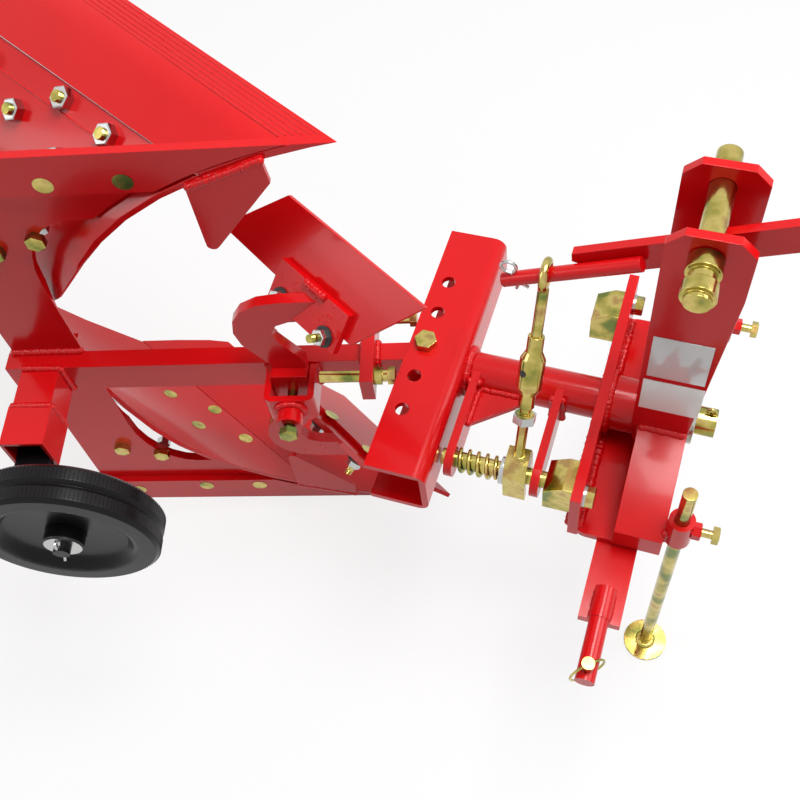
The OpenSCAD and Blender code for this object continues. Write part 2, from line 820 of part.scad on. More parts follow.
wheel_socket();
wheel_arm();
wheel_axle();
depth_wheel();
wheel_hub();
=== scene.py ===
# %% [markdown]
# # A reversible plough, dressed for a close look
# The CAD model already gives every plate and tube its place. This script gives the plough its
# finishes, bolts, welds, pins and labels, then sets up the studio. Each cell makes one thing.

import json
import math
import random

import bpy
from mathutils import Matrix, Vector


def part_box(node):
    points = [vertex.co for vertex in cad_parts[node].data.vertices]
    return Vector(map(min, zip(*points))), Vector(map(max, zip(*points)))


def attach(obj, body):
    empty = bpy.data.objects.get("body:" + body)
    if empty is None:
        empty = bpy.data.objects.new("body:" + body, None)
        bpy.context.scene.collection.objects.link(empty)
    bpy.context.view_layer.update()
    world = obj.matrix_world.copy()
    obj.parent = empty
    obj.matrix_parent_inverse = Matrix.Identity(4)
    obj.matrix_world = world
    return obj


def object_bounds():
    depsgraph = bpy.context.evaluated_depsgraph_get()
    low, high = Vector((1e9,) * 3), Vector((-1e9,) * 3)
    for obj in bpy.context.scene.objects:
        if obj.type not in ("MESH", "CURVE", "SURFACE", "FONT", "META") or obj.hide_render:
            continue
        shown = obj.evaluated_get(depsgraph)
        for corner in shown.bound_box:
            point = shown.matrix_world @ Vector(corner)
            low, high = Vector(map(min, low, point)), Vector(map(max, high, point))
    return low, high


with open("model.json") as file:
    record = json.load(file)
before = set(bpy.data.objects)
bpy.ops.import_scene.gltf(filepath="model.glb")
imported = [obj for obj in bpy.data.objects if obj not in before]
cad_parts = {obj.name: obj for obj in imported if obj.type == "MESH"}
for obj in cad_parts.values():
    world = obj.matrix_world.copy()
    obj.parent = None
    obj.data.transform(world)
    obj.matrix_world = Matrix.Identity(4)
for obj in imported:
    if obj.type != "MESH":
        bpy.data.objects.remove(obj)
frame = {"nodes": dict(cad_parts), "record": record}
cad_low, cad_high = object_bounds()
record = frame["record"]
joints = {j["name"]: j for j in record["behaviour"]["joints"]}
MM = 0.001
print("nodes", len(frame["nodes"]), "box", cad_low, cad_high)

# %% [markdown]
# ## Two frames to measure in
# The headstock is measured from the turnover axis. The beam swings about its pivot bolt, so what
# sits on it is measured from that bolt, along the beam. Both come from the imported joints. The upper
# body is the lower one mirrored in the axis, so its frame is the beam's, flipped.

# %% Frames of the headstock and the beam
turn = joints["turnover"]["pos_m"]
bolt_low, bolt_high = (Vector(v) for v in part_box("beam_pivot_bolt"))
spin = joints["wheel_spin"]["axis"]
beam_yaw = math.atan2(-spin[0], spin[1])
row_frame = Matrix.Identity(4)
head_frame = Matrix.Translation((turn[0], turn[1], turn[2]))
pivot = Vector(((bolt_low.x + bolt_high.x) / 2, turn[1], turn[2]))
beam_frame = Matrix.Translation(pivot) @ Matrix.Rotation(beam_yaw, 4, "Z")
flipped_frame = beam_frame @ Matrix.Scale(-1, 4, (0, 0, 1))
BODIES = (("lower", beam_frame), ("upper", flipped_frame))
BODY_SIGNS = (("lower", 1), ("upper", -1))
print("beam turned by", round(math.degrees(beam_yaw), 1))


def local_box(node, frame_matrix):
    """Lowest and highest corner of a CAD node in a frame of its own."""
    inverse = frame_matrix.inverted()
    spots = [inverse @ v.co for v in frame["nodes"][node].data.vertices]
    low = Vector([min(p[i] for p in spots) for i in range(3)])
    high = Vector([max(p[i] for p in spots) for i in range(3)])
    return low, high


# %% [markdown]
# ## Gloss red paint
# Implement red is a thick gloss coat. A faint cloud of noise keeps large plates from looking flat,
# and a fine bump gives the orange peel of sprayed paint.

# %% Shader helpers and the red paint
def shader(name, base, metallic=0.0, roughness=0.4, coat=0.0, specular=0.5):
    """A material with one Principled shader whose sockets are set directly."""
    mat = bpy.data.materials.new(name)
    mat.use_nodes = True
    bsdf = mat.node_tree.nodes["Principled BSDF"]
    bsdf.inputs["Base Color"].default_value = (*base, 1)
    bsdf.inputs["Metallic"].default_value = metallic
    bsdf.inputs["Roughness"].default_value = roughness
    bsdf.inputs["Specular IOR Level"].default_value = specular
    bsdf.inputs["Coat Weight"].default_value = coat
    bsdf.inputs["Coat Roughness"].default_value = 0.06
    return mat


def add_noise(mat, scale):
    """A noise texture on Object coordinates, ready to be wired."""
    tree = mat.node_tree
    place = tree.nodes.new("ShaderNodeTexCoord")
    noise = tree.nodes.new("ShaderNodeTexNoise")
    noise.inputs["Scale"].default_value = scale
    noise.inputs["Detail"].default_value = 3
    tree.links.new(place.outputs["Object"], noise.inputs["Vector"])
    return noise


def add_bump(mat, scale, strength, distance):
    """A fine bump over the whole finish."""
    tree = mat.node_tree
    noise = add_noise(mat, scale)
    bump = tree.nodes.new("ShaderNodeBump")
    bump.inputs["Strength"].default_value = strength
    bump.inputs["Distance"].default_value = distance
    tree.links.new(noise.outputs["Fac"], bump.inputs["Height"])
    tree.links.new(bump.outputs["Normal"], tree.nodes["Principled BSDF"].inputs["Normal"])


def add_tint(mat, scale, stops):
    """A colour that drifts between stops of (place, colour)."""
    tree = mat.node_tree
    noise = add_noise(mat, scale)
    ramp = tree.nodes.new("ShaderNodeValToRGB")
    for stop, (place, colour) in zip(ramp.color_ramp.elements, (stops[0], stops[-1])):
        stop.position = place
        stop.color = (*colour, 1)
    for place, colour in stops[1:-1]:
        ramp.color_ramp.elements.new(place).color = (*colour, 1)
    tree.links.new(noise.outputs["Fac"], ramp.inputs["Fac"])
    tree.links.new(ramp.outputs["Color"], tree.nodes["Principled BSDF"].inputs["Base Color"])


red_paint = shader("gloss red paint", (0.62, 0.004, 0.006), roughness=0.2, coat=0.12, specular=0.24)
add_tint(red_paint, 5, [(0.3, (0.60, 0.003, 0.005)), (0.7, (0.65, 0.004, 0.006))])
add_bump(red_paint, 260, 0.05, 0.0004)
print("red paint ready")

# %% [markdown]
# ## Zinc and black
# The bolts are zinc with a yellow passivate, whose clouds go from olive through gold to a brownish
# pink. Nuts and washers are plain bright zinc. The wheel is sprayed a soft black.

# %% Zinc, black and label finishes
yellow_zinc = shader("yellow zinc", (0.36, 0.28, 0.09), metallic=1.0, roughness=0.17)
passivate_clouds = [
    (0.34, (0.16, 0.20, 0.05)),
    (0.46, (0.40, 0.34, 0.08)),
    (0.57, (0.58, 0.47, 0.15)),
    (0.68, (0.42, 0.27, 0.10)),
]
add_tint(yellow_zinc, 32, passivate_clouds)
add_bump(yellow_zinc, 500, 0.03, 0.0003)
silver_zinc = shader("bright zinc", (0.5, 0.51, 0.50), metallic=1.0, roughness=0.22)
add_bump(silver_zinc, 400, 0.06, 0.0003)
black_paint = shader(
    "black wheel paint", (0.006, 0.005, 0.006), roughness=0.3, coat=0.04, specular=0.16
)
add_bump(black_paint, 180, 0.12, 0.0005)
# Plain dark washers under the skimmer nuts; the same dark finish is also the painted shade inside the
# turnbuckle's cross hole.
dark_washer_and_hole_shade = shader("dark washer", (0.02, 0.02, 0.02), roughness=0.6)
label_white = shader("blank white label", (0.82, 0.82, 0.80), roughness=0.35, coat=0.3)
label_grey = shader("blank pale label", (0.62, 0.60, 0.60), roughness=0.15, coat=0.8)
finish_of = {
    "red_paint": red_paint,
    "yellow_zinc": yellow_zinc,
    "silver_zinc": silver_zinc,
    "black_paint": black_paint,
}
print("finishes", len(finish_of))

# %% [markdown]
# ## Plates get their finish and a worn edge
# A cut plate never has a knife-sharp corner, and the highlight along its rounded edge tells the eye
# that it's steel. A small bevel on every CAD node gives that without moving a vertex of it.

# %% Finish the CAD nodes
EDGE = 0.7 * MM
# An edge that turns by more degrees than this is a corner: it's rounded on CAD nodes and stays
# sharp on new pieces.
SHARP = 32
slot_of = {s["node"]: s["material_slot"] for s in record["subparts"]}


def soften(obj):
    """Welds loose triangles, dissolves flat ones and rounds the corners, as live modifiers."""
    weld = obj.modifiers.new("weld", "WELD")
    weld.merge_threshold = 0.01 * MM
    flat = obj.modifiers.new("flat", "DECIMATE")
    flat.decimate_type = "DISSOLVE"
    flat.angle_limit = math.radians(0.4)
    bevel = obj.modifiers.new("edge", "BEVEL")
    bevel.width = EDGE
    bevel.segments = 2
    bevel.limit_method = "ANGLE"
    bevel.angle_limit = math.radians(SHARP)
    bevel.harden_normals = True
    shading = obj.modifiers.new("flat shading", "WEIGHTED_NORMAL")
    shading.weight = 100


for name, node in frame["nodes"].items():
    node.data.materials.clear()
    node.data.materials.append(finish_of[slot_of[name]])
    for face in node.data.polygons:
        face.use_smooth = True
    soften(node)
print("finished", len(frame["nodes"]), "nodes")

# %% [markdown]
# ## Working with operators
# Each small piece starts as a primitive and is shaped in edit mode. These helpers keep the
# selection clean and pin the finished mesh to the origin, on the body that carries it.

# %% Helpers for selecting, joining and placing
def only(obj):
    """Selects one object and makes it active."""
    bpy.ops.object.select_all(action="DESELECT")
    obj.select_set(True)
    bpy.context.view_layer.objects.active = obj


def join(*objs):
    """Several objects as one."""
    only(objs[0])
    for obj in objs:
        obj.select_set(True)
    if len(objs) > 1:
        bpy.ops.object.join()
    return objs[0]


def select_faces(obj, test):
    """In edit mode, selects the faces whose centre and normal pass a test."""
    bpy.ops.mesh.select_all(action="DESELECT")
    bpy.ops.object.mode_set(mode="OBJECT")
    for face in obj.data.polygons:
        face.select = test(face.center, face.normal)
    bpy.ops.object.mode_set(mode="EDIT")
    bpy.ops.mesh.select_mode(type="FACE")


def facing(direction):
    """A transform that turns +Z to a direction."""
    return Vector(direction).to_track_quat("Z", "Y").to_matrix().to_4x4()


def spots_on(base, points, direction):
    """Spots in a frame at points in mm, all facing one way."""
    return [base @ Matrix.Translation(Vector(p) * MM) @ facing(direction) for p in points]


def raised(spots, height):
    """The same spots, moved along the way they face by a height in mm."""
    return [spot @ Matrix.Translation((0, 0, height * MM)) for spot in spots]


def copy_to(master, spots):
    """One new object from copies of a master at each spot, a 4 by 4 matrix."""
    copies = []
    for spot in spots:
        twin = master.copy()
        twin.data = master.data.copy()
        bpy.context.collection.objects.link(twin)
        twin.data.transform(spot)
        if spot.determinant() < 0:
            twin.data.flip_normals()
        copies.append(twin)
    return join(*copies)


made = []


def install(obj, name, slot_name, body, finish=None, smooth=SHARP):
    """Names, finishes and mounts a piece on its body."""
    obj.name = name
    obj.data.name = name
    obj.data.materials.clear()
    obj.data.materials.append(finish or finish_of[slot_name])
    only(obj)
    bpy.ops.object.shade_smooth_by_angle(angle=math.radians(smooth))
    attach(obj, body)
    made.append(name)
    return obj


masters = []


def keep_master(obj):
    """Masters are only patterns for copies and are removed at the end."""
    masters.append(obj)
    return obj


# %% [markdown]
# ## Hexagon heads, nuts and threads
# A hexagon bolt's head has its top corners turned off. A six-sided cylinder's top is extruded a
# little, shrunk and inset, which leaves the chamfer. A thread is only its ridges here: the bar's
# top is extruded in short steps, each narrower or wider than the last.

# %% Patterns for the fastenings
CHAMFER = 0.88
THREAD_STEP, THREAD_WAIST = 0.75, 0.9


def bar(diameter, z0, z1, sides):
    """A bar of that many sides between two heights, in mm, with its place in its mesh."""
    bpy.ops.object.select_all(action="DESELECT")
    bpy.ops.mesh.primitive_cylinder_add(
        vertices=sides,
        radius=diameter / 2 * MM,
        depth=(z1 - z0) * MM,
        location=(0, 0, (z0 + z1) / 2 * MM),
    )
    bpy.ops.object.transform_apply(location=True)
    return bpy.context.object


def extrude_up(height):
    """In edit mode, extrudes the selected faces by a height in mm."""
    bpy.ops.mesh.extrude_region_move(TRANSFORM_OT_translate={"value": (0, 0, height * MM)})


def hexagon(across, height):
    """A hexagon head standing on z = 0, across corners in mm."""
    head = bar(across, 0, height, 6)
    bpy.ops.object.mode_set(mode="EDIT")
    select_faces(head, lambda c, n: n.z > 0.9)
    extrude_up(0.1 * height)
    bpy.ops.transform.resize(value=(CHAMFER, CHAMFER, 1), center_override=(0, 0, height * MM))
    bpy.ops.mesh.inset(thickness=across * 0.05 * MM, depth=0)
    bpy.ops.object.mode_set(mode="OBJECT")
    return head


def shank(diameter, z0, z1, rings=0, sides=24):
    """A round bar along z, with that many thread steps on its top."""
    rod = bar(diameter, z0, z1, sides)
    if rings:
        bpy.ops.object.mode_set(mode="EDIT")
        for step in range(rings):
            top = (z1 + step * THREAD_STEP - 0.01) * MM
            select_faces(rod, lambda c, n: n.z > 0.9 and c.z > top)
            extrude_up(THREAD_STEP)
            factor = THREAD_WAIST if step % 2 == 0 else 1 / THREAD_WAIST
            bpy.ops.transform.resize(value=(factor, factor, 1), center_override=(0, 0, 0))
        bpy.ops.object.mode_set(mode="OBJECT")
    return rod


def hex_bolt(head, diameter, span, base, seat, way):
    """A bolt: a head at a seat in mm that faces one way, and a shaft between two heights on it."""
    spot = spots_on(base, [seat], way)
    return join(copy_to(head, spot), copy_to(keep_master(shank(diameter, *span)), spot))


NUT_M14 = 11
WASHER = 2.5
nut_m14 = keep_master(hexagon(27, NUT_M14))
thread_m14 = keep_master(shank(14, 0, 3, rings=3))
nut_m10 = keep_master(hexagon(20, 9))
head_m10 = keep_master(hexagon(20, 7))
head_m12 = keep_master(hexagon(24, 9))
thread_m10 = keep_master(shank(10, 0, 8, rings=8))
flush_disc = keep_master(shank(22, 0, 0.6))
print("patterns", len(masters))

# %% [markdown]
# ## Bolts through the moldboards
# Plough bolts have a flat head that lies flush in the working face, with the nut behind. Their
# places are given in plan, and a ray finds the face and its normal, so each one sits true.

# %% Plough bolts of both bodies
# Each row is x along the beam and y across it, in mm.
PLAN_BOARD = [(-313, 78), (-371, 134), (-381, 84), (-440, 150), (-480, 215)]
BOARD_THICK = 6
# Heights of a ray's start from the turnover axis: between the bodies, and past either sole.
BETWEEN, PAST_SOLE = 20, -600


def drop_line(node, x, y, start, way):
    """Place and normal where a vertical line in plan meets a CAD node, or None."""
    top = beam_frame @ Vector((x * MM, y * MM, 0))
    top.z = turn[2] + start * MM
    hit, spot, normal, _ = frame["nodes"][node].ray_cast(top, Vector((0, 0, way)))
    return (spot, normal) if hit else None


for side, sign in BODY_SIGNS:
    discs, nuts = [], []
    for x, y in PLAN_BOARD:
        found = drop_line(f"moldboard_{side}", x, y, sign * BETWEEN, -sign)
        if not found:
            print("no skin at", side, x, y)
            continue
        spot, normal = found
        if normal.z * sign < 0:
            normal = -normal
        discs.append(Matrix.Translation(spot) @ facing(normal))
        nuts.append(Matrix.Translation(spot - normal * BOARD_THICK * MM) @ facing(-normal))
    tails = raised(nuts, NUT_M14)
    install(copy_to(flush_disc, discs), f"plough_bolt_faces_{side}", "yellow_zinc", "rotor")
    install(copy_to(nut_m14, nuts), f"plough_bolt_nuts_{side}", "silver_zinc", "rotor")
    install(copy_to(thread_m14, tails), f"plough_bolt_threads_{side}", "yellow_zinc", "rotor")
    print("plough bolts", side, len(discs))

# %% [markdown]
# ## Bolts of the landsides and frogs
# The landside is held by three flush bolts, and the frog by two hexagon bolts whose heads show on
# the near side. Heights are measured from the sole, so one table serves both bodies.

# %% Landside and frog bolts
# Each row is x along the beam and the height over the sole, in mm.
LANDSIDE_BOLTS = [(-369, 40), (-285, 40), (-480, 30)]
FROG_BOLTS = [(-415, 132), (-470, 150)]
land_low = local_box("landside_lower", beam_frame)[0] / MM
sole_z, near_y = land_low.z, land_low.y
leg_low, leg_high = (corner / MM for corner in local_box("leg_lower", beam_frame))


def plate_spots(base, rows, y, way):
    """Spots on an upright plate's face at y, from rows of x and height over the sole."""
    return spots_on(base, [(x, y, sole_z + height) for x, height in rows], (0, way, 0))


for side, base in BODIES:
    flush = copy_to(flush_disc, plate_spots(base, LANDSIDE_BOLTS, near_y, -1))
    install(flush, f"landside_bolt_faces_{side}", "yellow_zinc", "rotor")
    heads = copy_to(head_m12, plate_spots(base, FROG_BOLTS, leg_low.y, -1))
    install(heads, f"frog_bolt_heads_{side}", "yellow_zinc", "rotor")
    nuts = copy_to(nut_m10, plate_spots(base, FROG_BOLTS, leg_high.y, 1))
    install(nuts, f"frog_bolt_nuts_{side}", "silver_zinc", "rotor")
print("sole at", round(sole_z), "mm from the turnover axis")

# %% [markdown]
# ## Skimmer fastenings
# Each skimmer blade is bolted to a flange with two nuts over dark washers. The clamp's bolt runs
# through a boss on the near side and presses the two stems against the beam. The blades get a frame
# of their own, so both are dressed from one set of places.

# %% Skimmer bolts
SKIM_TIP = (17, -77, 215)
SKIM_PLAN, SKIM_TILT = 46, 52
FLANGE_BACK = 15
# Along the blade's edge, and up the blade: behind, where the flange is, and in front.
BOLTS_U, NUTS_V, FACES_V = (98, 176), 103, 88
THREAD_UP = 10
blade_frame = (
    Matrix.Translation(Vector(SKIM_TIP) * MM)
    @ Matrix.Rotation(math.radians(180 - SKIM_PLAN), 4, "Z")
    @ Matrix.Rotation(math.radians(-SKIM_TILT), 4, "X")
)
BLADES = (("lower", flipped_frame @ blade_frame), ("upper", beam_frame @ blade_frame))
washer_dark = keep_master(shank(25, 0, WASHER))
for side, blade in BLADES:
    seats = spots_on(blade, [(u, NUTS_V, FLANGE_BACK) for u in BOLTS_U], (0, 0, 1))
    washers = copy_to(washer_dark, seats)
    install(washers, f"skimmer_washers_{side}", "black_paint", "rotor", dark_washer_and_hole_shade)
    nuts = copy_to(nut_m10, raised(seats, WASHER))
    install(nuts, f"skimmer_nuts_{side}", "silver_zinc", "rotor")
    threads = copy_to(thread_m10, raised(seats, THREAD_UP))
    install(threads, f"skimmer_threads_{side}", "yellow_zinc", "rotor")
    fronts = spots_on(blade, [(u, FACES_V, 0) for u in BOLTS_U], (0, 0, -1))
    install(copy_to(flush_disc, fronts), f"skimmer_bolt_faces_{side}", "yellow_zinc", "rotor")

# The clamp bolt's head stands off its boss, and its shaft is this long.
HEAD_OUT, SHAFT_LONG = 6, 55
clamp_low, clamp_high = (corner / MM for corner in local_box("skimmer_clamp", beam_frame))
clamp_mid = (clamp_low.x + clamp_high.x) / 2
clamp_seat = (clamp_mid, clamp_low.y - HEAD_OUT, 0)
clamp_span = (-SHAFT_LONG, 0)
clamp_bolt = hex_bolt(head_m12, 13, clamp_span, beam_frame, clamp_seat, (0, -1, 0))
install(clamp_bolt, "skimmer_clamp_bolt", "yellow_zinc", "rotor")
print("clamp bolt at", round(clamp_mid))

# %% [markdown]
# ## Set bolts of the headstock
# A red nut is welded to each stand tube and takes a zinc set bolt. Two more bolts hold the zinc stop
# blocks to the stop plate. One loop dresses both sides.

# %% Stand tube set bolts and stop block bolts
STOP_BOLT_Y, STOP_BOLT_Z = 137, 12
# The stand's nut is above its tube's middle and sunk a little in it, and its bolt stands out.
NUT_UP, NUT_SINK, BOLT_OUT = 4, 1.5, 20
stop_low, stop_high = (corner / MM for corner in local_box("stop_plate", head_frame))
washer_wide = keep_master(shank(26, 0, WASHER))
for side, sign in (("left", 1), ("right", -1)):
    low, high = (corner / MM for corner in local_box(f"clamp_tube_{side}", head_frame))
    mid_y, mid_z = (low.y + high.y) / 2, (low.z + high.z) / 2 + NUT_UP
    nut = copy_to(nut_m10, spots_on(head_frame, [(high.x - NUT_SINK, mid_y, mid_z)], (1, 0, 0)))
    install(nut, f"stand_nut_{side}", "red_paint", "frame")
    seat = (high.x + BOLT_OUT, mid_y, mid_z)
    bolt = hex_bolt(head_m10, 10, (-13, 1), head_frame, seat, (1, 0, 0))
    install(bolt, f"stand_set_bolt_{side}", "yellow_zinc", "frame")
    seats = spots_on(head_frame, [(stop_high.x, sign * STOP_BOLT_Y, STOP_BOLT_Z)], (1, 0, 0))
    install(copy_to(washer_wide, seats), f"stop_block_washer_{side}", "silver_zinc", "frame")
    head = copy_to(head_m12, raised(seats, WASHER))
    install(head, f"stop_block_bolt_{side}", "yellow_zinc", "frame")
print("headstock bolts")

# %% [markdown]
# ## Split pins and linchpins
# A split pin is a bent round wire, which a poly curve with a round bevel makes in one go. It is
# made with an eye and two legs, in three sizes, for the lever rod, the shaft cap and the wheel's
# axle. A linchpin has a short plug through the hitch pin and a spring ring over its end.

# %% Bent wire
def wire(points, diameter):
    """A round wire through points in mm, made a mesh."""
    curve = bpy.data.curves.new("wire", "CURVE")
    curve.dimensions = "3D"
    curve.bevel_depth = diameter / 2 * MM
    curve.bevel_resolution = 2
    curve.use_fill_caps = True
    line = curve.splines.new("POLY")
    line.points.add(len(points) - 1)
    for point, place in zip(line.points, points):
        point.co = (*[c * MM for c in place], 1)
    obj = bpy.data.objects.new("wire", curve)
    bpy.context.collection.objects.link(obj)
    only(obj)
    bpy.ops.object.convert(target="MESH")
    return bpy.context.object


def angles(start, end, steps):
    """Evenly spaced angles in radians between two in degrees."""
    return [math.radians(start + (end - start) * k / steps) for k in range(steps + 1)]


def arc(height, radius, start, end, steps):
    """Points in mm of an arc in the xz plane, round a centre at a height."""
    turns = angles(start, end, steps)
    return [(radius * math.cos(a), 0, height + radius * math.sin(a)) for a in turns]


LEG_X, SPLAY = 1.4, 7


def split_pin(length, gauge=3.2, loop=5):
    """Eye at the top, two legs down -z, splayed at the end, one a little longer."""
    eye = arc(loop + 1, loop, -60, 240, 14)
    leg_a = [(LEG_X, 0, 0), (LEG_X, 0, -length), (SPLAY, 0, -length - SPLAY)]
    leg_b = [(-SPLAY, 0, -length - SPLAY + 1), (-LEG_X, 0, -length), (-LEG_X, 0, 0)]
    return wire(leg_b + list(reversed(eye)) + leg_a, gauge)


# %% Split pins
ROD_D = 16
# From the rod's lowest corner to where its pin enters, along and up.
ROD_PIN_IN, ROD_PIN_UP = 13, 22
CAP_PIN_IN, AXLE_PIN_IN = 15, 5
long_pin = keep_master(split_pin(34))
short_pin = keep_master(split_pin(18))
stout_pin = keep_master(split_pin(18, 3.8, 8))

rod_low, rod_high = (Vector(v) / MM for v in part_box("lever_rod"))
rod_slope = math.atan2(rod_high.z - rod_low.z - ROD_D, rod_high.x - rod_low.x - ROD_D)
rod_mid_y = (rod_low.y + rod_high.y) / 2
rod_hole = Vector((rod_low.x + ROD_PIN_IN, rod_mid_y, rod_low.z + ROD_PIN_UP))
rod_pin = Matrix.Translation(rod_hole * MM) @ Matrix.Rotation(-rod_slope, 4, "Y")
install(copy_to(stout_pin, [rod_pin]), "lever_rod_split_pin", "silver_zinc", "lever")

cap_low, cap_high = (corner / MM for corner in local_box("shaft_cap", head_frame))
cap_hole = Vector((cap_low.x + CAP_PIN_IN, 0, cap_high.z))
cap_pin = head_frame @ Matrix.Translation(cap_hole * MM)
install(copy_to(long_pin, [cap_pin]), "shaft_split_pin", "yellow_zinc", "rotor")

axle_low, axle_high = (corner / MM for corner in local_box("wheel_axle", beam_frame))
axle_hole = Vector(((axle_low.x + axle_high.x) / 2, axle_low.y + AXLE_PIN_IN, axle_high.z))
quarter_turn = Matrix.Rotation(math.pi / 2, 4, "Z")
axle_pin = beam_frame @ Matrix.Translation(axle_hole * MM) @ quarter_turn
install(copy_to(short_pin, [axle_pin]), "axle_split_pin", "silver_zinc", "rotor")
print("lever rod slopes by", round(math.degrees(rod_slope), 1))

# %% Linchpins
LINCHPIN_Y = 312
CLIP_R, CLIP_TURN = 21, 42
for side, sign in (("left", 1), ("right", -1)):
    spot = Matrix.Translation((0, sign * LINCHPIN_Y * MM, 0))
    plug = copy_to(keep_master(shank(7.4, -17, 19)), [spot])
    knob = copy_to(keep_master(shank(14, 13, 24)), [spot])
    clip = wire(arc(0, CLIP_R, -84, 250, 26), 2.8)
    clip.data.transform(spot @ Matrix.Rotation(math.radians(CLIP_TURN), 4, "Z"))
    install(join(plug, knob, clip), f"linchpin_{side}", "yellow_zinc", "frame")
print("pins and clips")

# %% [markdown]
# ## Weld beads
# Hand-laid welds are a row of overlapping flat ripples. One ripple is a squashed ball, copied along
# each seam with a little scatter, and painted over with the plates.

# %% Weld helpers
# Half the width of a bead in mm, how far its ripples stray, and how far its line stands off a face.
BEAD, WIDE_BEAD, BROAD_BEAD = 4.5, 5, 6
SCATTER = 0.35
OFF = 1
random.seed(7)
bpy.ops.object.select_all(action="DESELECT")
bpy.ops.mesh.primitive_uv_sphere_add(segments=12, ring_count=6, radius=1)
ripple = keep_master(bpy.context.object)


def seam(name, lines, body, size=BEAD, slot_name="red_paint"):
    """Ripples of a size in mm along polylines of points in metres in the row frame."""
    spots = []
    for line in lines:
        for start, end in zip(line, line[1:]):
            count = math.ceil((end - start).length / (size * 0.6 * MM))
            aim = facing(end - start)
            for k in range(count):
                place = start.lerp(end, (k + 0.5) / count)
                jitter = Vector([random.uniform(-SCATTER, SCATTER) * MM for _ in range(3)])
                scale = size * random.uniform(0.9, 1.1) * MM
                squash = Matrix.Diagonal((scale, scale, scale * 0.85, 1))
                spots.append(Matrix.Translation(place + jitter) @ aim @ squash)
    return install(copy_to(ripple, spots), name, slot_name, body, smooth=60)


def at(base, *points):
    """Points in mm of a frame, as row points in metres."""
    return [base @ (Vector(p) * MM) for p in points]


def ring(base, centre, radius, axis="x", steps=28):
    """A closed line round an axis through a centre in mm of a frame."""
    points = []
    for a in angles(0, 360, steps):
        c, s = radius * math.cos(a), radius * math.sin(a)
        offset = {"x": (0, c, s), "y": (c, 0, s), "z": (c, s, 0)}[axis]
        points.append(Vector(centre) + Vector(offset))
    return at(base, *points)


print("one ripple has", len(ripple.data.polygons), "faces")

# %% [markdown]
# ## Welds of the turnover tube
# The channel is welded to the tube's end all round. The lugs are welded on both faces where they
# meet the tube, and the gusset along its two inner edges.

# %% Welds of the turnover tube
LUG_HALF = 20
tube_r = local_box("turnover_shaft", head_frame)[1].z / MM
channel_x = local_box("adjusting_channel", head_frame)[1].x / MM
channel_ring = ring(head_frame, (channel_x + 1.5 * OFF, 0, 0), tube_r + OFF)
seam("weld_channel", [channel_ring], "rotor", BROAD_BEAD)
lines = []
for node in ("lug_rear", "lug_front"):
    low, high = (corner / MM for corner in local_box(node, head_frame))
    for x in (low.x - OFF, high.x + OFF):
        below, beside = (x, -tube_r - OFF, -LUG_HALF), (x, -tube_r + OFF, 0)
        above = (x, -tube_r - OFF, LUG_HALF)
        lines.append(at(head_frame, below, beside, above))
low, high = (corner / MM for corner in local_box("lug_gusset", head_frame))
lines.append(at(head_frame, (low.x, -tube_r, high.z), (high.x, -tube_r, high.z)))
lines.append(at(head_frame, (low.x + OFF, -tube_r, high.z), (low.x + OFF, low.y, high.z)))
seam("weld_lugs", lines, "rotor")
print("welds of the tube, radius", round(tube_r, 1))

# %% [markdown]
# ## Welds of the headstock
# The masts' feet, the stand tubes, the stop plate, the hitch pins and the stand's foot are welded
# where their plates meet. The foot's weld was plated with it, so it is zinc and not red.

# %% Welds of the headstock
# Ends of the beads in mm: along a mast's foot, up a stand tube and across the stop plate.
MAST_FOOT, TUBE_SIDE, STOP_HALF = (30, 80), (2, 19), 150
TUBE_HALF = 6.5
cross_low, cross_high = (corner / MM for corner in local_box("cross_member", head_frame))
lines = []
for side in ("left", "right"):
    low, high = (corner / MM for corner in local_box(f"mast_{side}", head_frame))
    for y in (low.y, high.y):
        lines.append(at(head_frame, *[(x, y, low.z) for x in MAST_FOOT]))
    low, high = (corner / MM for corner in local_box(f"clamp_tube_{side}", head_frame))
    mid_y = (low.y + high.y) / 2
    for y in (mid_y - TUBE_HALF, mid_y + TUBE_HALF):
        lines.append(at(head_frame, *[(cross_high.x + OFF, y, low.z + up) for up in TUBE_SIDE]))
seam("weld_mast_feet", lines, "frame", WIDE_BEAD)

bearing_r = local_box("bearing_tube", head_frame)[1].z / MM + OFF
lines = [ring(head_frame, (x, 0, 0), bearing_r) for x in (stop_high.x + OFF, cross_low.x - OFF)]
for x in (stop_low.x - OFF, stop_high.x + OFF):
    lines.append(at(head_frame, *[(x, y, stop_low.z + OFF) for y in (-STOP_HALF, STOP_HALF)]))
seam("weld_stop_plate", lines, "frame", WIDE_BEAD)

# A hitch pin lies on its arm and is welded along both sides: where across the machine, how far
# from the pin's middle, and how high, in mm.
PIN_WELD_Y, PIN_WELD_X, PIN_WELD_Z = (219, 250), 9, -6.5
lines = []
for sign in (1, -1):
    for x in (-PIN_WELD_X, PIN_WELD_X):
        lines.append(at(row_frame, *[(x, sign * y, PIN_WELD_Z) for y in PIN_WELD_Y]))
seam("weld_hitch_pins", lines, "frame")

LEG_RING_R = 9
low, high = (Vector(v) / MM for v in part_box("stand_foot"))
foot_mid = ((low.x + high.x) / 2, (low.y + high.y) / 2, high.z + OFF)
foot_ring = ring(row_frame, foot_mid, LEG_RING_R, "z", 20)
seam("weld_stand_foot", [foot_ring], "stand", BEAD, "yellow_zinc")
print("welds of the headstock")

# %% [markdown]
# ## Welds of the beam
# The set bar, the skimmer clamp with its boss, and the cross piece at the rear sit on the square
# beam, with beads where their edges meet its sides.

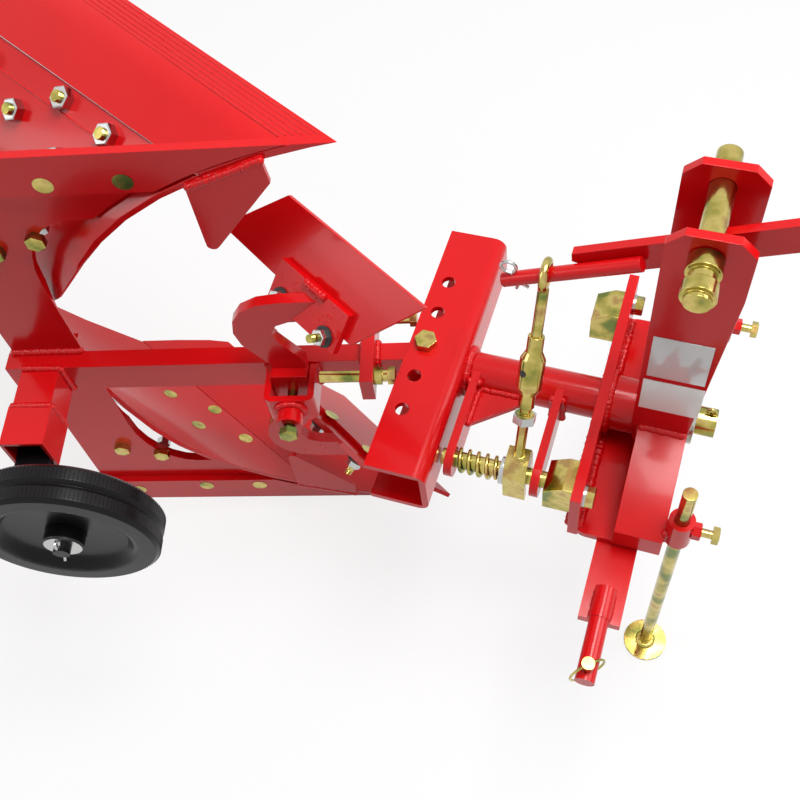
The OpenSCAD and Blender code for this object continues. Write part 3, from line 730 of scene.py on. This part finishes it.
# %% Welds of the beam
beam_high = local_box("beam", beam_frame)[1] / MM
bar_low, bar_high = (corner / MM for corner in local_box("set_bar", beam_frame))
half = beam_high.y
lines = []
for x in (bar_low.x - OFF, bar_high.x + OFF):
    lines.append(at(beam_frame, *[(x, y, beam_high.z + OFF) for y in (-half, half)]))
    for y in (-half - OFF, half + OFF):
        lines.append(at(beam_frame, (x, y, bar_low.z), (x, y, beam_high.z)))
seam("weld_set_bar", lines, "rotor")

# The boss's root behind its face, and its radius, then half a bead up the beam's side.
BOSS_LONG, BOSS_R, SIDE_HALF = 21, 17, 20
lines = [ring(beam_frame, (clamp_mid, clamp_low.y + BOSS_LONG, 0), BOSS_R, "y")]
for x in (clamp_low.x, clamp_high.x):
    lines.append(at(beam_frame, *[(x, -half - OFF, z) for z in (-SIDE_HALF, SIDE_HALF)]))
seam("weld_skimmer_clamp", lines, "rotor")

low, high = (corner / MM for corner in local_box("rear_cross", beam_frame))
TOP_Z, FRONT_HALF = 26, 24
lines = []
for y in (low.y + OFF, high.y - OFF):
    lines.append(at(beam_frame, (low.x, y, TOP_Z), (high.x, y, TOP_Z)))
    lines.append(at(beam_frame, *[(high.x + OFF, y, z) for z in (-FRONT_HALF, FRONT_HALF)]))
seam("weld_rear_cross", lines, "rotor")
print("beam is", round(2 * half), "mm wide")

# %% [markdown]
# ## Welds of both bodies
# Each body's fin is welded along its root on both faces, and its leg along its neck, where it
# meets the beam. The skimmers' flanges are welded to their stems. The mirrored frames serve both.

# %% Welds of both bodies
# Each row is x along the beam and the height over the sole, in mm.
FIN_ROOT = [(-222, 49), (-180, 33), (-137, 15)]
FIN_FACES = (-3, 0.5)
NECK_LENGTH, NECK_IN, NECK_Z = 92, 12, -26
FLANGE_WELD_U, FLANGE_WELD_V = (118, 132, 150), 64
for side, base in BODIES:
    lines = []
    for y in FIN_FACES:
        lines.append(at(base, *[(x, near_y + y, sole_z + height) for x, height in FIN_ROOT]))
    seam(f"weld_fin_{side}", lines, "rotor")
    neck = [(x, leg_high.y - NECK_IN, NECK_Z) for x in (leg_low.x, leg_low.x + NECK_LENGTH)]
    seam(f"weld_leg_{side}", [at(base, *neck)], "rotor", BROAD_BEAD)
for side, blade in reversed(BLADES):
    flange = at(blade, *[(u, FLANGE_WELD_V, FLANGE_BACK + OFF) for u in FLANGE_WELD_U])
    seam(f"weld_skimmer_{side}", [flange], "rotor", WIDE_BEAD)
print("welds laid")

# %% [markdown]
# ## Ridges on the shares and a strip along the seam
# The back of each share has fine ridges along its cutting edge, as rolled steel has, and a thin
# strip follows the share's seam on the back of the moldboard. Both keep to the edge's plan, and
# rays find the skin over each place.

# %% Ridges and strips
# The edge and the seam run back as they go out: where each starts, and how steeply.
EDGE_TIP, EDGE_SLOPE = -60, 1.07
STRIP_START, STRIP_SLOPE = -241, 1.167
SET_BACKS = (7, 15, 23, 31, 39, 46)
RIDGE_STEPS, RIDGE_START, RIDGE_END = 28, 12, 296
RIDGE_WIDE, STRIP_WIDE = 1.8, 2.4


def back_line(node, places, sign):
    """The points in mm where the back of a body's plate lies over places in plan."""
    hits = [drop_line(node, x, y, sign * PAST_SOLE, sign) for x, y in places]
    return [tuple(hit[0] / MM) for hit in hits if hit]


outs = [RIDGE_START + (RIDGE_END - RIDGE_START) * k / RIDGE_STEPS for k in range(RIDGE_STEPS + 1)]
for side, sign in BODY_SIGNS:
    ridges = []
    for set_back in SET_BACKS:
        edge = [(EDGE_TIP - out * EDGE_SLOPE - set_back, near_y + out) for out in outs]
        ridges.append(wire(back_line(f"share_{side}", edge, sign), RIDGE_WIDE))
    strip = [(STRIP_START - STRIP_SLOPE * out, near_y + out) for out in range(14, 210, 7)]
    ridges.append(wire(back_line(f"moldboard_{side}", strip, sign), STRIP_WIDE))
    install(join(*ridges), f"share_ridges_{side}", "red_paint", "rotor", smooth=60)
    print("ridges", side, len(ridges))

# %% [markdown]
# ## Weld spatter
# Tiny beads of weld metal stick to a plate near its seam and are painted over. They are scattered
# round the skimmers' flanges, flattened on the skin that a ray finds.

# %% Weld spatter
SPATTER_COUNT = 70
# The middle and the spread of the beads along the blade and up it, in mm.
SPATTER_U, SPATTER_V = (132, 34), (78, 22)
RAY_START, RAY_REACH = 90, 120
for side, blade in BLADES:
    inward = (blade.to_3x3() @ Vector((0, 0, -1))).normalized()
    stem = frame["nodes"][f"skimmer_stem_{side}"]
    beads = []
    for _ in range(SPATTER_COUNT):
        u, v = random.gauss(*SPATTER_U), random.gauss(*SPATTER_V)
        origin = blade @ (Vector((u, v, RAY_START)) * MM)
        hit, spot, normal, _ = stem.ray_cast(origin, inward, distance=RAY_REACH * MM)
        if hit:
            size = random.uniform(0.5, 1.3) * MM
            flat = Matrix.Diagonal((size, size, size * 0.7, 1))
            beads.append(Matrix.Translation(spot) @ facing(normal) @ flat)
    install(copy_to(ripple, beads), f"weld_spatter_{side}", "red_paint", "rotor", smooth=60)
    print("spatter", side, len(beads))

# %% [markdown]
# ## The wheel's tread and hub
# The wheel is cast with a groove round its rim, and both lands beside it carry fine cross marks:
# one thin bar, copied round. A bright washer closes the hub's near face.

# %% Tread marks and hub washer
MARK_COUNT, MARK_WIDE = 150, 0.9
# The marks stop short of the rim's edges and of the groove, in mm.
OFF_EDGE, OFF_GROOVE = 4, 5
wheel_low, wheel_high = (corner / MM for corner in local_box("depth_wheel", beam_frame))
wheel_mid = (wheel_low + wheel_high) / 2
wheel_r = (wheel_high.z - wheel_low.z) / 2
mark_length = (wheel_high.y - wheel_low.y) / 2 - OFF_EDGE - OFF_GROOVE
tread_mark = keep_master(shank(MARK_WIDE, 0, mark_length, sides=6))
along_axle = Matrix.Translation((wheel_r * MM, 0, 0)) @ facing((0, 1, 0))
marks = []
for y in (wheel_low.y + OFF_EDGE, wheel_mid.y + OFF_GROOVE):
    hub = beam_frame @ Matrix.Translation(Vector((wheel_mid.x, y, 0)) * MM)
    for k in range(MARK_COUNT):
        marks.append(hub @ Matrix.Rotation(math.tau * k / MARK_COUNT, 4, "Y") @ along_axle)
install(copy_to(tread_mark, marks), "wheel_tread_marks", "black_paint", "wheel")

hub_y = local_box("wheel_hub", beam_frame)[0].y / MM
hub_face = spots_on(beam_frame, [(wheel_mid.x, hub_y, 0)], (0, -1, 0))
hub_washer = copy_to(keep_master(shank(45, 0, WASHER)), hub_face)
install(hub_washer, "wheel_hub_washer", "silver_zinc", "wheel")
print("wheel radius", round(wheel_r))

# %% [markdown]
# ## The turnbuckle's lock nut and the painted shade of its cross hole
# A bright nut locks the turnbuckle's lower thread. Its cross hole, which takes a bar to turn it, is
# not cut: a thin dark disc on its body is painted shade for the hole. Both lie on the line from the
# eye to the fork, which the CAD boxes give.

# %% Lock nut and the painted shade of the cross hole
# From the eye's top to its middle, and from the fork's lowest corner to its stem's foot, in mm.
EYE_DOWN = 19
FORK_IN, FORK_UP = 20, 49
# Along the line from the eye's middle, and the body's radius with a trace more, in mm.
NUT_ALONG, HOLE_ALONG, BODY_R = 168, 112, 14.2
eye_low, eye_high = (corner / MM for corner in local_box("turnbuckle_eye", head_frame))
fork_low = local_box("turnbuckle_fork", head_frame)[0] / MM
link_low, link_high = (corner / MM for corner in local_box("lever_rod", head_frame))
mid_x = (eye_low.x + eye_high.x) / 2
line_top = Vector((mid_x, (link_low.y + link_high.y) / 2, eye_high.z - EYE_DOWN))
line_end = Vector((mid_x, fork_low.y + FORK_IN, fork_low.z + FORK_UP))
line_way = (line_end - line_top).normalized()
nut_spot = spots_on(head_frame, [line_top + line_way * NUT_ALONG], line_way)
lock_nut = copy_to(keep_master(hexagon(27, 10)), nut_spot)
install(lock_nut, "turnbuckle_lock_nut", "silver_zinc", "turnbuckle")

# The dark disc of painted hole shade faces square off the line, towards the near side and a little
# to the rear.
side_way = Vector((-0.55, line_way.z, -line_way.y)).normalized()
hole_at = line_top + line_way * HOLE_ALONG + side_way * BODY_R
# A thin dark disc on the body: painted shade standing in for the inside of the cross hole.
hole_shade_disc = copy_to(keep_master(shank(8, 0, 0.5)), spots_on(head_frame, [hole_at], side_way))
install(hole_shade_disc, "turnbuckle_cross_hole_painted_shade", "black_paint", "turnbuckle", dark_washer_and_hole_shade)
print("turnbuckle line", round((line_end - line_top).length), "mm long")

# %% [markdown]
# ## The wheel socket's set bolt
# The socket has a red nut welded below it and a zinc bolt that holds the wheel's arm.

# %% Socket bolt
socket_low, socket_high = (corner / MM for corner in local_box("wheel_socket", beam_frame))
socket_x, socket_y = (socket_low.x + socket_high.x) / 2, (socket_low.y + socket_high.y) / 2
DOWN, BOLT_DOWN = (0, 0, -1), 22
socket_nut = copy_to(nut_m10, spots_on(beam_frame, [(socket_x, socket_y, socket_low.z)], DOWN))
install(socket_nut, "wheel_socket_nut", "red_paint", "rotor")
socket_seat = (socket_x, socket_y, socket_low.z - BOLT_DOWN)
socket_bolt = hex_bolt(head_m10, 10, (-14, 1), beam_frame, socket_seat, DOWN)
install(socket_bolt, "wheel_socket_bolt", "yellow_zinc", "rotor")
print("socket bolt at", round(socket_x), round(socket_y))

# %% [markdown]
# ## Two blank labels
# Two plates are stuck to the near mast. They stay blank: a scaled cube with its corners rounded,
# thin enough to look stuck on, in two finishes.

# %% Labels
LABEL_THICK = 1
mast_face = local_box("mast_right", head_frame)[0].y / MM


def label(name, x0, x1, z0, z1, finish):
    """A thin blank plate on the near mast plate, with rounded corners."""
    bpy.ops.object.select_all(action="DESELECT")
    bpy.ops.mesh.primitive_cube_add(size=1)
    plate = bpy.context.object
    middle = Vector(((x0 + x1) / 2, mast_face - LABEL_THICK / 2, (z0 + z1) / 2)) * MM
    size = Matrix.Diagonal(((x1 - x0) * MM, LABEL_THICK * MM, (z1 - z0) * MM, 1))
    plate.data.transform(head_frame @ Matrix.Translation(middle) @ size)
    only(plate)
    corners = plate.modifiers.new("corners", "BEVEL")
    corners.width = 0.4 * MM
    corners.segments = 2
    bpy.ops.object.modifier_apply(modifier=corners.name)
    return install(plate, name, "silver_zinc", "frame", finish)


label("blank_label_white", 24, 88, 80, 136, label_white)
label("blank_label_pale", 26, 86, 144, 214, label_grey)
print("labels on the face at", round(mast_face))

# %% [markdown]
# ## Clearing up
# The patterns were never meant to be seen. They go before the studio is set.

# %% Remove the patterns
for master in masters:
    bpy.data.objects.remove(master, do_unlink=True)
print("pieces made", len(made))

# %% [markdown]
# ## Studio
# The plough stands in a white studio: a pale floor that still takes a soft shadow, a white
# surround, one large soft lamp above and two weaker ones that draw highlights along the plates.
# Camera, mirror and glass rays see the surround at full white, and it lights the object less.

# %% Floor and surround
FLOOR_SHARE = 0.8
SURROUND_LIGHT = 0.2


def seen_rays(tree):
    """1 for rays from the camera, off metal or through glass, and 0 for all others."""
    ray = tree.nodes.new("ShaderNodeLightPath")
    seen = ray.outputs["Is Camera Ray"]
    for kind in ("Is Glossy Ray", "Is Transmission Ray"):
        larger = tree.nodes.new("ShaderNodeMath")
        larger.operation = "MAXIMUM"
        tree.links.new(seen, larger.inputs[0])
        tree.links.new(ray.outputs[kind], larger.inputs[1])
        seen = larger.outputs[0]
    return seen


def studio_white():
    """A rough pale floor that is mostly plain white where it is seen."""
    mat = shader("studio white", (0.9, 0.9, 0.9), roughness=0.9)
    tree = mat.node_tree
    glow = tree.nodes.new("ShaderNodeEmission")
    glow.inputs["Color"].default_value = (1, 1, 1, 1)
    share = tree.nodes.new("ShaderNodeMath")
    share.operation = "MULTIPLY"
    share.inputs[1].default_value = FLOOR_SHARE
    mix = tree.nodes.new("ShaderNodeMixShader")
    tree.links.new(seen_rays(tree), share.inputs[0])
    tree.links.new(share.outputs[0], mix.inputs["Fac"])
    tree.links.new(tree.nodes["Principled BSDF"].outputs["BSDF"], mix.inputs[1])
    tree.links.new(glow.outputs["Emission"], mix.inputs[2])
    tree.links.new(mix.outputs["Shader"], tree.nodes["Material Output"].inputs["Surface"])
    return mat


bpy.ops.object.select_all(action="DESELECT")
bpy.ops.mesh.primitive_plane_add(size=80, location=(0, 0, cad_low.z - 0.5 * MM))
floor = bpy.context.object
floor.name = "studio_floor"
floor.data.materials.append(studio_white())

world = bpy.data.worlds.new("studio")
bpy.context.scene.world = world
world.use_nodes = True
tree = world.node_tree
surround = tree.nodes["Background"]
surround.inputs["Color"].default_value = (1, 1, 1, 1)
strength = tree.nodes.new("ShaderNodeMapRange")
strength.inputs["To Min"].default_value = SURROUND_LIGHT
strength.inputs["To Max"].default_value = 1.0
tree.links.new(seen_rays(tree), strength.inputs["Value"])
tree.links.new(strength.outputs["Result"], surround.inputs["Strength"])
print("floor at", round(cad_low.z, 3))

# %% [markdown]
# ## Lamps
# Area lamps give soft edges to the highlights. Each is aimed at the plough's middle.

# %% Lamps
middle = (cad_low + cad_high) / 2


def lamp(name, offset, size, power):
    """An area lamp aimed at the plough's middle."""
    data = bpy.data.lights.new(name, "AREA")
    data.shape = "RECTANGLE"
    data.size, data.size_y = size
    data.energy = power
    obj = bpy.data.objects.new(name, data)
    obj.location = middle + Vector(offset)
    obj.rotation_euler = (-Vector(offset)).to_track_quat("-Z", "Y").to_euler()
    bpy.context.collection.objects.link(obj)
    return obj


lamp("key", (0.9, 0.2, 2.7), (1.6, 1.1), 78)
lamp("left", (-2.6, -1.2, 1.4), (1.2, 1.8), 20)
lamp("right", (2.4, 0.8, 1.6), (1.2, 1.6), 24)
print("lamps round", [round(v, 2) for v in middle])

# %% [markdown]
# ## Camera
# A close, steep view from the near front corner, rolled a little, from which the plough's rear
# runs out of the frame. The camera's axes are worked out from its heading, its tilt and its roll.

# %% Camera
# Its place in mm from the turnover axis, and its angles in degrees.
CAMERA_AT = (49.62, -673.66, 1087.49)
HEADING, LOOK_DOWN, ROLL = -28.13, 57.88, 11.46
SENSOR, LENS = 36, 47.28645
SHIFT_X, SHIFT_Y = 0.019375, 0.003825
heading, tilt, roll = (math.radians(v) for v in (HEADING, LOOK_DOWN, ROLL))
level = Vector((math.sin(heading), math.cos(heading), 0)) * math.cos(tilt)
forward = level + Vector((0, 0, -math.sin(tilt)))
level_right = Vector((math.cos(heading), -math.sin(heading), 0))
level_down = forward.cross(level_right)
right = level_right * math.cos(roll) + level_down * math.sin(roll)
down = level_down * math.cos(roll) - level_right * math.sin(roll)
camera_data = bpy.data.cameras.new("camera")
camera = bpy.data.objects.new("camera", camera_data)
bpy.context.collection.objects.link(camera)
camera_turn = Matrix((right, -down, -forward)).transposed().to_4x4()
camera_spot = Matrix.Translation(head_frame @ (Vector(CAMERA_AT) * MM))
camera.matrix_world = camera_spot @ camera_turn
camera_data.sensor_width = SENSOR
camera_data.lens = LENS
camera_data.shift_x, camera_data.shift_y = SHIFT_X, SHIFT_Y
camera_data.clip_start, camera_data.clip_end = 0.01, 50
bpy.context.scene.camera = camera
bpy.context.scene.view_settings.view_transform = "Standard"
print("camera at", [round(v, 3) for v in camera.location])
